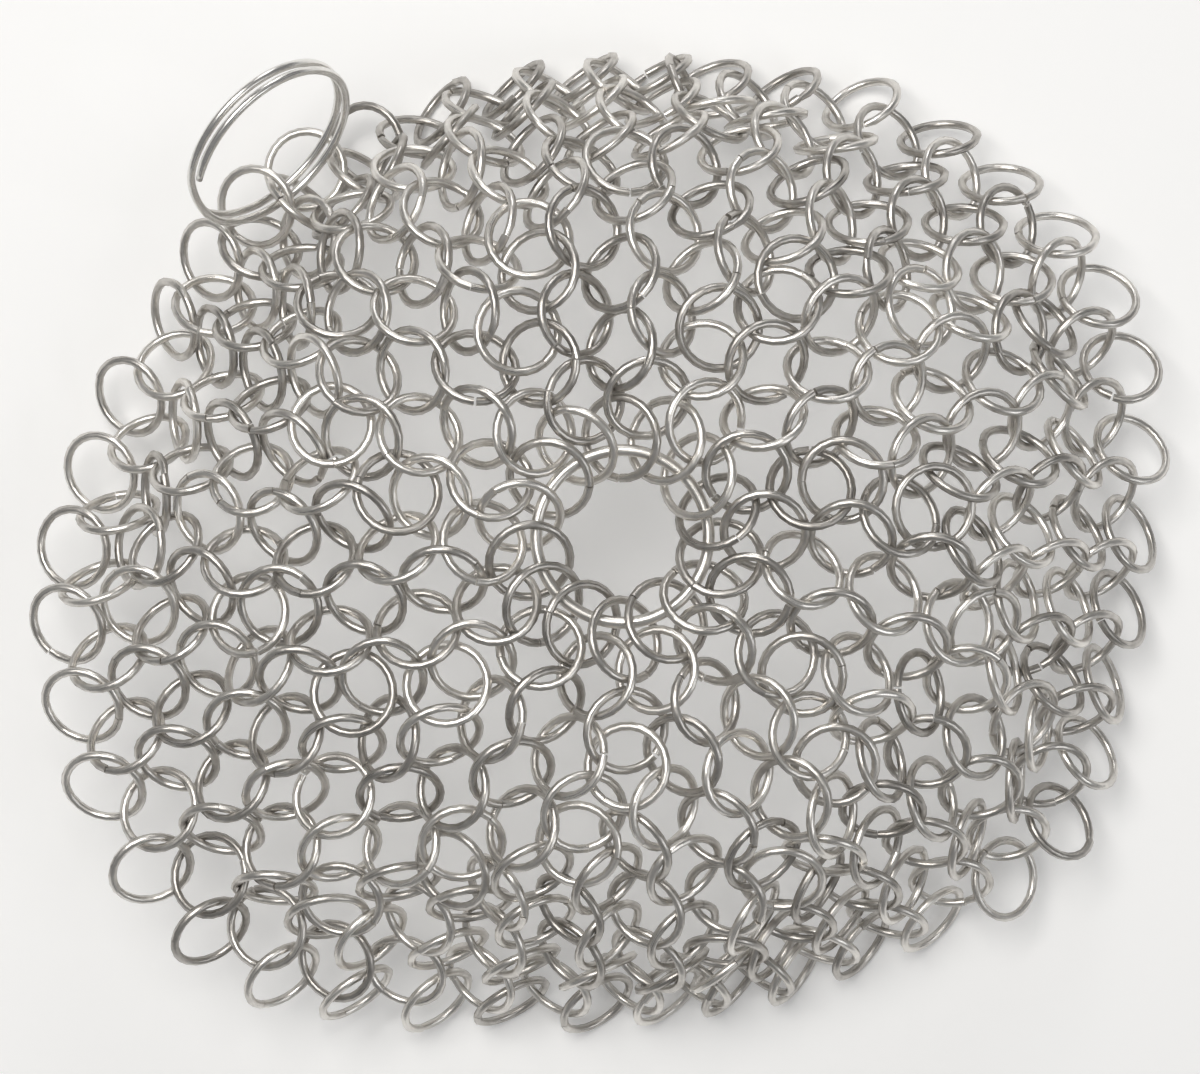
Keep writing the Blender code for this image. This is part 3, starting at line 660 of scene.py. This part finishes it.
# %% UVs along the wire
def lay_uvs(shape, radius, seam=0.0, repeat=1):
    """UVs that run along the wire of a ring from its seam's angle, and round the wire."""
    uv = shape.loops.layers.uv.new("wire")
    for face in shape.faces:
        middle = face.calc_center_median()
        along = seam + (np.arctan2(middle.y, middle.x) - seam) % (2 * pi)
        around = np.arctan2(middle.z, np.hypot(middle.x, middle.y) - radius)
        for loop in face.loops:
            spot = loop.vert.co
            u = np.arctan2(spot.y, spot.x)
            v = np.arctan2(spot.z, np.hypot(spot.x, spot.y) - radius)
            u += 2 * pi * round((along - u) / (2 * pi))
            v += 2 * pi * round((around - v) / (2 * pi))
            loop[uv].uv = (u * repeat / (2 * pi), v / (2 * pi) + 0.5)

# %% [markdown]
# A real mail ring is cut from a coil of drawn wire and pressed shut, so its two ends meet in a butt joint.
# It could be a torus, but a torus has no ends. So a disc of wire is spun nearly all the way round, which
# leaves the joint open by a hair. The two ends are then slid past each other a little, near the joint only,
# because they seldom meet exactly.

# %% A butted ring of drawn wire
END_SPRING = 4


def wire_ring(radius, wire, segments, sides, gap, step):
    """A ring of wire whose ends meet in a butt joint."""
    shape = bmesh.new()
    seat = Matrix.Translation((radius, 0, 0)) @ Matrix.Rotation(pi / 2, 4, "X")
    bmesh.ops.create_circle(shape, cap_ends=True, segments=sides, radius=wire / 2, matrix=seat)
    sweep = 2 * pi - gap / radius
    bmesh.ops.spin(shape, geom=shape.faces[:], cent=(0, 0, 0), axis=(0, 0, 1), angle=sweep, steps=segments)
    rim = [edge for edge in shape.edges if edge.is_boundary]
    if rim:
        bmesh.ops.holes_fill(shape, edges=rim, sides=0)
    bmesh.ops.recalc_face_normals(shape, faces=shape.faces[:])
    lay_uvs(shape, radius)
    for face in shape.faces:
        cap = len(face.verts) != 4
        face.smooth = not cap
        if cap:
            for edge in face.edges:
                edge.smooth = False
    for vert in shape.verts:
        turn = np.arctan2(vert.co.y, vert.co.x) % (2 * pi)
        last_end, first_end = (min(turn, sweep) / sweep) ** END_SPRING, (1 - turn / sweep) ** END_SPRING
        vert.co.z += step * (last_end - 0.5 * first_end)
    return shape


def to_mesh(shape, name):
    """A mesh with the shape of a bmesh, which is freed."""
    mesh = bpy.data.meshes.new(name)
    shape.to_mesh(mesh)
    shape.free()
    return mesh

# %% [markdown]
# Most joints are tight and some stand a little open, so nine rings are made, from tight to open. A small
# ring has 24 steps with five sides, few enough to be repeated 371 times.

# %% Tight, usual and wide joints
FINE_SEGMENTS = 24
FINE_SIDES = 5
SEAM_GAPS = (0.00008, 0.00016, 0.00030)
SEAM_STEPS = (0.00002, 0.00010, 0.00018)


def ring_templates():
    """Butted rings with tight, usual and wide joints."""
    return [wire_ring(RING_RADIUS, ROUND_WIRE, FINE_SEGMENTS, FINE_SIDES, gap, step)
            for gap in SEAM_GAPS for step in SEAM_STEPS]


templates = [to_mesh(shape, f"butted_ring_{i}") for i, shape in enumerate(ring_templates())]
print(len(templates), "butted rings of", len(templates[0].polygons), "faces each")

# %% [markdown]
# No two rings of a real mail look the same. Every ring gets its own joint, its own turn in its plane and
# its own tone, from one seeded generator, so that the scene is the same each time it is built.

# %% Chance for every ring
JOINT_CHANCES = (0.22, 0.2, 0.08, 0.14, 0.14, 0.07, 0.05, 0.05, 0.05)
TONE_SPREAD = 2.2
SEED = 41

chance = np.random.default_rng(SEED)
ring_joint = chance.choice(len(JOINT_CHANCES), size=len(hoops.centre), p=JOINT_CHANCES)
ring_turn = chance.uniform(0, 2 * pi, len(hoops.centre))
ring_tone = chance.beta(TONE_SPREAD, TONE_SPREAD, len(hoops.centre))
print("rings with each joint:", np.bincount(ring_joint).tolist())

# %% [markdown]
# Instances would be lighter, but a finished piece is one mesh with its place in it. So a piece is one bmesh
# into which each of its rings is copied, turned and moved. The ring's tone is kept on its vertices, for the
# steel.

# %% One piece of mail
def show(name, mesh, finish):
    """A named piece at the origin, in its finish."""
    piece = bpy.data.objects.new(name, mesh)
    bpy.context.scene.collection.objects.link(piece)
    mesh.materials.clear()
    mesh.materials.append(finish)
    return piece


def mail_piece(name, rings, finish):
    """One piece that holds the butted rings of the given numbers."""
    shape = bmesh.new()
    tone = shape.verts.layers.float.new("tone")
    for ring in rings:
        before = len(shape.verts)
        shape.from_mesh(templates[ring_joint[ring]])
        shape.verts.ensure_lookup_table()
        fresh = shape.verts[before:]
        lie = ring_matrix(ring) @ Matrix.Rotation(ring_turn[ring], 4, "Z")
        bmesh.ops.transform(shape, matrix=lie, verts=fresh)
        for vert in fresh:
            vert[tone] = ring_tone[ring]
    return show(name, to_mesh(shape, name), finish)

# %% [markdown]
# The shader nodes below repeat a few steps: make a node with its values, scale a value, and take a value
# from one range to another. Each step gets a small helper.

# %% Helpers for shader nodes
def node(tree, kind, **values):
    """A shader node with its properties and unlinked inputs set."""
    made = tree.nodes.new(kind)
    for name, value in values.items():
        if name in made.inputs:
            made.inputs[name].default_value = value
        else:
            setattr(made, name, value)
    return made


def scaled(tree, value, factor, more=0.0):
    """An output that gives value * factor + more, where more is a number or another output."""
    made = node(tree, "ShaderNodeMath", operation="MULTIPLY_ADD")
    tree.links.new(value, made.inputs[0])
    made.inputs[1].default_value = factor
    if isinstance(more, float):
        made.inputs[2].default_value = more
    else:
        tree.links.new(more, made.inputs[2])
    return made.outputs["Value"]


def ranged(tree, value, before, after, kind="LINEAR"):
    """An output that takes a value from the range before to the range after."""
    made = node(tree, "ShaderNodeMapRange", interpolation_type=kind)
    for name, number in zip(("From Min", "From Max", "To Min", "To Max"), (*before, *after)):
        made.inputs[name].default_value = number
    tree.links.new(value, made.inputs["Value"])
    return made.outputs["Result"]

# %% [markdown]
# Drawn stainless wire has long fine lines along it, left by the die, and patches that use has rubbed
# brighter. The lines are a noise that is stretched along the UVs, and each ring reads another slice of it.
# The patches are a noise in object coordinates, so they run on from ring to ring. A picture of metal would
# be quicker, but it would repeat on every ring.

# %% Drawn steel
LINE_STRETCH = (5, 22, 1)
LINES_APART = 60
PATCH_SCALE = 420
PATCH_SHARE = 0.55
TONE_SHARE = 0.45
DARK_BELOW = 0.28
LIGHT_ABOVE = 0.66
LINE_RANGE = (0.3, 0.7)
BRUSHED = 0.3


def steel(name, dark, light, rough_low, rough_high, line_depth):
    """Metal with drawing lines along its wire and rubbed patches."""
    finish = bpy.data.materials.new(name)
    finish.use_nodes = True
    tree = finish.node_tree
    link = tree.links.new
    shader = tree.nodes["Principled BSDF"]
    shader.inputs["Metallic"].default_value = 1
    shader.inputs["Anisotropic"].default_value = BRUSHED
    place = node(tree, "ShaderNodeTexCoord")
    tone = node(tree, "ShaderNodeAttribute", attribute_name="tone")
    stretch = node(tree, "ShaderNodeMapping", Scale=LINE_STRETCH)
    link(place.outputs["UV"], stretch.inputs["Vector"])
    lines = node(tree, "ShaderNodeTexNoise", noise_dimensions="4D", Scale=1, Detail=4, Roughness=0.6)
    link(stretch.outputs["Vector"], lines.inputs["Vector"])
    link(scaled(tree, tone.outputs["Fac"], LINES_APART), lines.inputs["W"])
    patches = node(tree, "ShaderNodeTexNoise", Scale=PATCH_SCALE, Detail=3, Roughness=0.55)
    link(place.outputs["Object"], patches.inputs["Vector"])
    rubbed = scaled(tree, patches.outputs["Fac"], PATCH_SHARE)
    shade = scaled(tree, tone.outputs["Fac"], TONE_SHARE, rubbed)
    ramp = node(tree, "ShaderNodeValToRGB")
    ramp.color_ramp.elements[0].position = DARK_BELOW
    ramp.color_ramp.elements[0].color = (*dark, 1)
    ramp.color_ramp.elements[1].position = LIGHT_ABOVE
    ramp.color_ramp.elements[1].color = (*light, 1)
    link(shade, ramp.inputs["Fac"])
    link(ramp.outputs["Color"], shader.inputs["Base Color"])
    rough = ranged(tree, lines.outputs["Fac"], LINE_RANGE, (rough_low, rough_high))
    link(rough, shader.inputs["Roughness"])
    bump = node(tree, "ShaderNodeBump", Strength=0.6, Distance=line_depth)
    link(lines.outputs["Fac"], bump.inputs["Height"])
    link(bump.outputs["Normal"], shader.inputs["Normal"])
    return finish


drawn = steel("drawn_steel_wire", (0.40, 0.38, 0.355), (0.80, 0.775, 0.735), 0.22, 0.42, 0.00006)
bright = steel("bright_steel_wire", (0.50, 0.485, 0.47), (0.80, 0.785, 0.76), 0.16, 0.32, 0.00003)
print("finishes:", drawn.name, "and", bright.name)

# %% [markdown]
# The first twelve rows are seven wedges of linked rings, which stand for the solid wedges and ride on the
# mail.

# %% Seven wedges of linked rings
for number in range(SECTORS):
    rings = [ring for ring, owner in sector.items() if owner == number]
    wedge = mail_piece(f"linked_rings_{number + 1}", rings, drawn)
    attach(wedge, "mail")
    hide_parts(f"mail_sector_{number + 1}")
    print(wedge.name, "has", len(rings), "rings")

# %% [markdown]
# The edge rings ride one by one on their own hinges. The two that hold the split ring ride on the mail.

# %% The edge rings
for number, ring in enumerate(rows[LAST_ROW][0]):
    node_name = f"edge_ring_{number + 1:02d}"
    loose = mail_piece(f"butted_{node_name}", [ring], drawn)
    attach(loose, "mail" if ring in holders else node_name)
    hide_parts(node_name)

print(len(rows[LAST_ROW][0]), "edge rings,", len(holders), "of them hold the split ring")

# %% [markdown]
# The centre ring is thicker wire, welded shut. A circle spun all the way round with its last step merged
# gives a closed ring, and a low bead is raised where the ends were joined.

# %% The welded centre ring
CENTRE_SEGMENTS = 96
CENTRE_SIDES = 14
CENTRE_TONE = 0.75
BEAD_HEIGHT = 0.10
BEAD_ANGLE = 2.1
BEAD_LENGTH = 0.6


def welded_ring(radius, wire, segments, sides):
    """A closed ring with a weld bead."""
    shape = bmesh.new()
    seat = Matrix.Translation((radius, 0, 0)) @ Matrix.Rotation(pi / 2, 4, "X")
    made = bmesh.ops.create_circle(shape, segments=sides, radius=wire / 2, matrix=seat)
    bmesh.ops.spin(shape, geom=list({edge for vert in made["verts"] for edge in vert.link_edges}),
                   cent=(0, 0, 0), axis=(0, 0, 1), angle=2 * pi, steps=segments, use_merge=True)
    bmesh.ops.remove_doubles(shape, verts=shape.verts[:], dist=wire / 1000)
    bmesh.ops.recalc_face_normals(shape, faces=shape.faces[:])
    lay_uvs(shape, radius, seam=-pi, repeat=2)
    tone = shape.verts.layers.float.new("tone")
    for face in shape.faces:
        face.smooth = True
    for vert in shape.verts:
        turn = np.arctan2(vert.co.y, vert.co.x)
        bead = 1 + BEAD_HEIGHT * np.exp(-((turn - BEAD_ANGLE) * radius / (BEAD_LENGTH * wire)) ** 2)
        core = Vector((cos(turn), sin(turn), 0)) * radius
        vert.co = core + (vert.co - core) * bead
        vert[tone] = CENTRE_TONE
    return shape


bead_ring = welded_ring(CENTRE_RING_RADIUS, CENTRE_RING_WIRE, CENTRE_SEGMENTS, CENTRE_SIDES)
centre = to_mesh(bead_ring, "welded_centre_ring")
centre.transform(ring_matrix(0))
centre_ring = show("welded_centre_ring", centre, drawn)
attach(centre_ring, "centre_ring")
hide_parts("centre_ring")
print(centre_ring.name, "has", len(centre.polygons), "faces")

# %% [markdown]
# The split ring is two turns of one wire, side by side. They cross over at one side, where the wire's two
# ground ends stop short of the bend, as on a key ring. A spin with a rise would give an even spiral, which
# a real split ring isn't. So a circle of wire is spun nearly twice round in one plane, and its corners are
# then lowered along the first turn, raised along the last and eased over the bend between them.

# %% The split ring
SPLIT_SEGMENTS = 80
SPLIT_SIDES = 12
SPLIT_TONE = 0.8
SPLIT_UV_REPEAT = 2.4
GROUND_END = 0.82
GROUND_STEPS = 3


def split_coil():
    """The two turns of the split ring: a disc of wire spun nearly twice round, then parted into two levels."""
    apart = SPLIT_RING_WIRE + SPLIT_RING_COIL_GAP
    bend = SPLIT_SEGMENTS // SPLIT_RING_SEGMENTS
    steps = 2 * (SPLIT_SEGMENTS - bend)
    sweep = 2 * pi * steps / SPLIT_SEGMENTS
    shape = bmesh.new()
    upright = Matrix.Rotation(pi / 2, 4, "X") @ Matrix.Rotation(-pi / 2, 4, "Z")
    seat = Matrix.Rotation((pi - sweep) / 2, 4, "Z") @ Matrix.Translation((SPLIT_RING_RADIUS, 0, 0)) @ upright
    made = bmesh.ops.create_circle(shape, segments=SPLIT_SIDES, radius=SPLIT_RING_WIRE / 2, matrix=seat)
    bmesh.ops.spin(shape, geom=list({edge for vert in made["verts"] for edge in vert.link_edges}),
                   cent=(0, 0, 0), axis=(0, 0, 1), angle=sweep, steps=steps)
    bmesh.ops.holes_fill(shape, edges=[edge for edge in shape.edges if edge.is_boundary], sides=0)
    bmesh.ops.recalc_face_normals(shape, faces=shape.faces[:])
    uv = shape.loops.layers.uv.new("wire")
    tone = shape.verts.layers.float.new("tone")
    shape.verts.index_update()
    spots = {}
    for vert in shape.verts:
        step = vert.index // SPLIT_SIDES
        around = np.arctan2(vert.co.z, np.hypot(vert.co.x, vert.co.y) - SPLIT_RING_RADIUS) / (2 * pi)
        spots[vert] = (step, round(around * SPLIT_SIDES) % SPLIT_SIDES)
        past = step - steps // 2
        side = max(-1, min(1, past / bend))
        angle = pi / 2 + 2 * pi * past / SPLIT_SEGMENTS
        core = Vector((cos(angle), sin(angle), 0)) * SPLIT_RING_RADIUS
        near_end = min(1, min(step, steps - step) / GROUND_STEPS)
        vert.co = core + (vert.co - core) * (GROUND_END + (1 - GROUND_END) * near_end)
        vert.co.z += apart / 2 * side * (3 - side ** 2) / 2
        vert[tone] = SPLIT_TONE
    for face in shape.faces:
        face.smooth = len(face.verts) == 4
        if face.smooth:
            seam = max(spots[vert][1] for vert in face.verts) > 1
            for loop in face.loops:
                step, side = spots[loop.vert]
                side = SPLIT_SIDES if seam and side == 0 else side
                loop[uv].uv = (step * SPLIT_UV_REPEAT / SPLIT_SEGMENTS, side / SPLIT_SIDES)
    return shape


coil = to_mesh(split_coil(), "split_ring_coil")
coil.transform(ring_matrix(len(hoops.centre) - 1))
split_ring = show("split_ring_coil", coil, bright)
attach(split_ring, "split_ring")
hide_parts("split_ring")
print(split_ring.name, "has", len(coil.polygons), "faces")

# %% [markdown]
# The floor is plain and pale. It reads as white to the camera and in the metal, and still takes the mail's
# shadow. A brighter lamp would whiten it too, but would burn out the steel, so it glows a little for the
# camera and for mirrored rays alone. Far from the mail it fades into the white behind it.

# %% The floor
FLOOR_RADIUS = 3
FLOOR_TONE = 0.93
FLOOR_GLOW = 0.12
FAR_GLOW = 0.95
FADE_BETWEEN = (0.12, 0.55)


def pale_floor():
    """A wide round floor."""
    shape = bmesh.new()
    bmesh.ops.create_circle(shape, cap_ends=True, segments=64, radius=FLOOR_RADIUS)
    floor = bpy.data.objects.new("studio_floor", to_mesh(shape, "studio_floor"))
    bpy.context.scene.collection.objects.link(floor)
    paper = bpy.data.materials.new("pale_floor")
    paper.use_nodes = True
    shader = paper.node_tree.nodes["Principled BSDF"]
    shader.inputs["Base Color"].default_value = (FLOOR_TONE, FLOOR_TONE, FLOOR_TONE, 1)
    shader.inputs["Roughness"].default_value = 0.9
    shader.inputs["Specular IOR Level"].default_value = 0.1
    shader.inputs["Emission Color"].default_value = (1, 1, 1, 1)
    tree = paper.node_tree
    path = node(tree, "ShaderNodeLightPath")
    place = node(tree, "ShaderNodeTexCoord")
    away = node(tree, "ShaderNodeVectorMath", operation="LENGTH")
    tree.links.new(place.outputs["Object"], away.inputs[0])
    fade = ranged(tree, away.outputs["Value"], FADE_BETWEEN, (FLOOR_GLOW, FAR_GLOW), "SMOOTHSTEP")
    seen = node(tree, "ShaderNodeMath", operation="MULTIPLY")
    tree.links.new(fade, seen.inputs[0])
    tree.links.new(path.outputs["Is Camera Ray"], seen.inputs[1])
    glow = scaled(tree, path.outputs["Is Glossy Ray"], FLOOR_GLOW, seen.outputs["Value"])
    tree.links.new(glow, shader.inputs["Emission Strength"])
    floor.data.materials.append(paper)
    return floor


pale_floor()

# %% [markdown]
# The surroundings are white where the camera sees them. The metal sees a soft grey, so that its wires keep
# dark edges against the white floor.

# %% The surroundings
WORLD_LIGHT = 0.20
WORLD_IN_METAL = 0.24


def studio_world():
    """White where the camera sees it, and softly grey in the metal and where it lights."""
    world = bpy.data.worlds.new("studio")
    bpy.context.scene.world = world
    world.use_nodes = True
    tree = world.node_tree
    back = tree.nodes["Background"]
    back.inputs["Color"].default_value = (1, 1, 1, 1)
    path = node(tree, "ShaderNodeLightPath")
    mirrored = scaled(tree, path.outputs["Is Glossy Ray"], WORLD_IN_METAL - WORLD_LIGHT, WORLD_LIGHT)
    power = node(tree, "ShaderNodeMath", operation="MAXIMUM")
    tree.links.new(path.outputs["Is Camera Ray"], power.inputs[0])
    tree.links.new(mirrored, power.inputs[1])
    tree.links.new(power.outputs["Value"], back.inputs["Strength"])


studio_world()

# %% [markdown]
# Three large soft lamps, as in a product studio: a warm key from behind at the left, a cooler fill from the
# right, and a rim from the back that draws bright lines on the wires.

# %% Soft lamps
def softbox(name, place, aim, size, power, colour=(1, 1, 1)):
    """A square soft light that looks at a point."""
    lamp = bpy.data.lights.new(name, "AREA")
    lamp.size = size
    lamp.energy = power
    lamp.color = colour
    holder = bpy.data.objects.new(name, lamp)
    bpy.context.scene.collection.objects.link(holder)
    holder.location = place
    holder.rotation_euler = (Vector(aim) - Vector(place)).to_track_quat("-Z", "Y").to_euler()
    return holder


softbox("key", (-0.16, 0.20, 0.62), (0, 0, 0), 0.36, 2.75, (1, 0.98, 0.945))
softbox("fill", (0.55, -0.25, 0.55), (0, 0, 0), 0.35, 0.9, (0.97, 0.985, 1))
softbox("rim", (0.05, 0.75, 0.30), (0, 0, 0.01), 0.25, 0.9)

# %% [markdown]
# The camera looks straight down on the mail. Its lens follows from its height and from how wide the frame
# is at the floor.

# %% The camera
CAMERA_HEIGHT = 0.42
CAMERA_AIM = (-0.0005, 0.0008)
FRAME_WIDTH = 0.1520
SENSOR_WIDTH = 36


def overhead_camera():
    """A camera above the mail, whose frame has the given width at the floor."""
    eye = bpy.data.cameras.new("camera")
    eye.sensor_width = SENSOR_WIDTH
    eye.lens = SENSOR_WIDTH * CAMERA_HEIGHT / FRAME_WIDTH
    eye.clip_start = 0.01
    holder = bpy.data.objects.new("camera", eye)
    bpy.context.scene.collection.objects.link(holder)
    holder.location = (*CAMERA_AIM, CAMERA_HEIGHT)
    bpy.context.scene.camera = holder


overhead_camera()
bpy.context.scene.view_settings.view_transform = "Standard"
bpy.context.scene.view_settings.look = "None"
print("lens:", round(bpy.context.scene.camera.data.lens, 1), "mm")
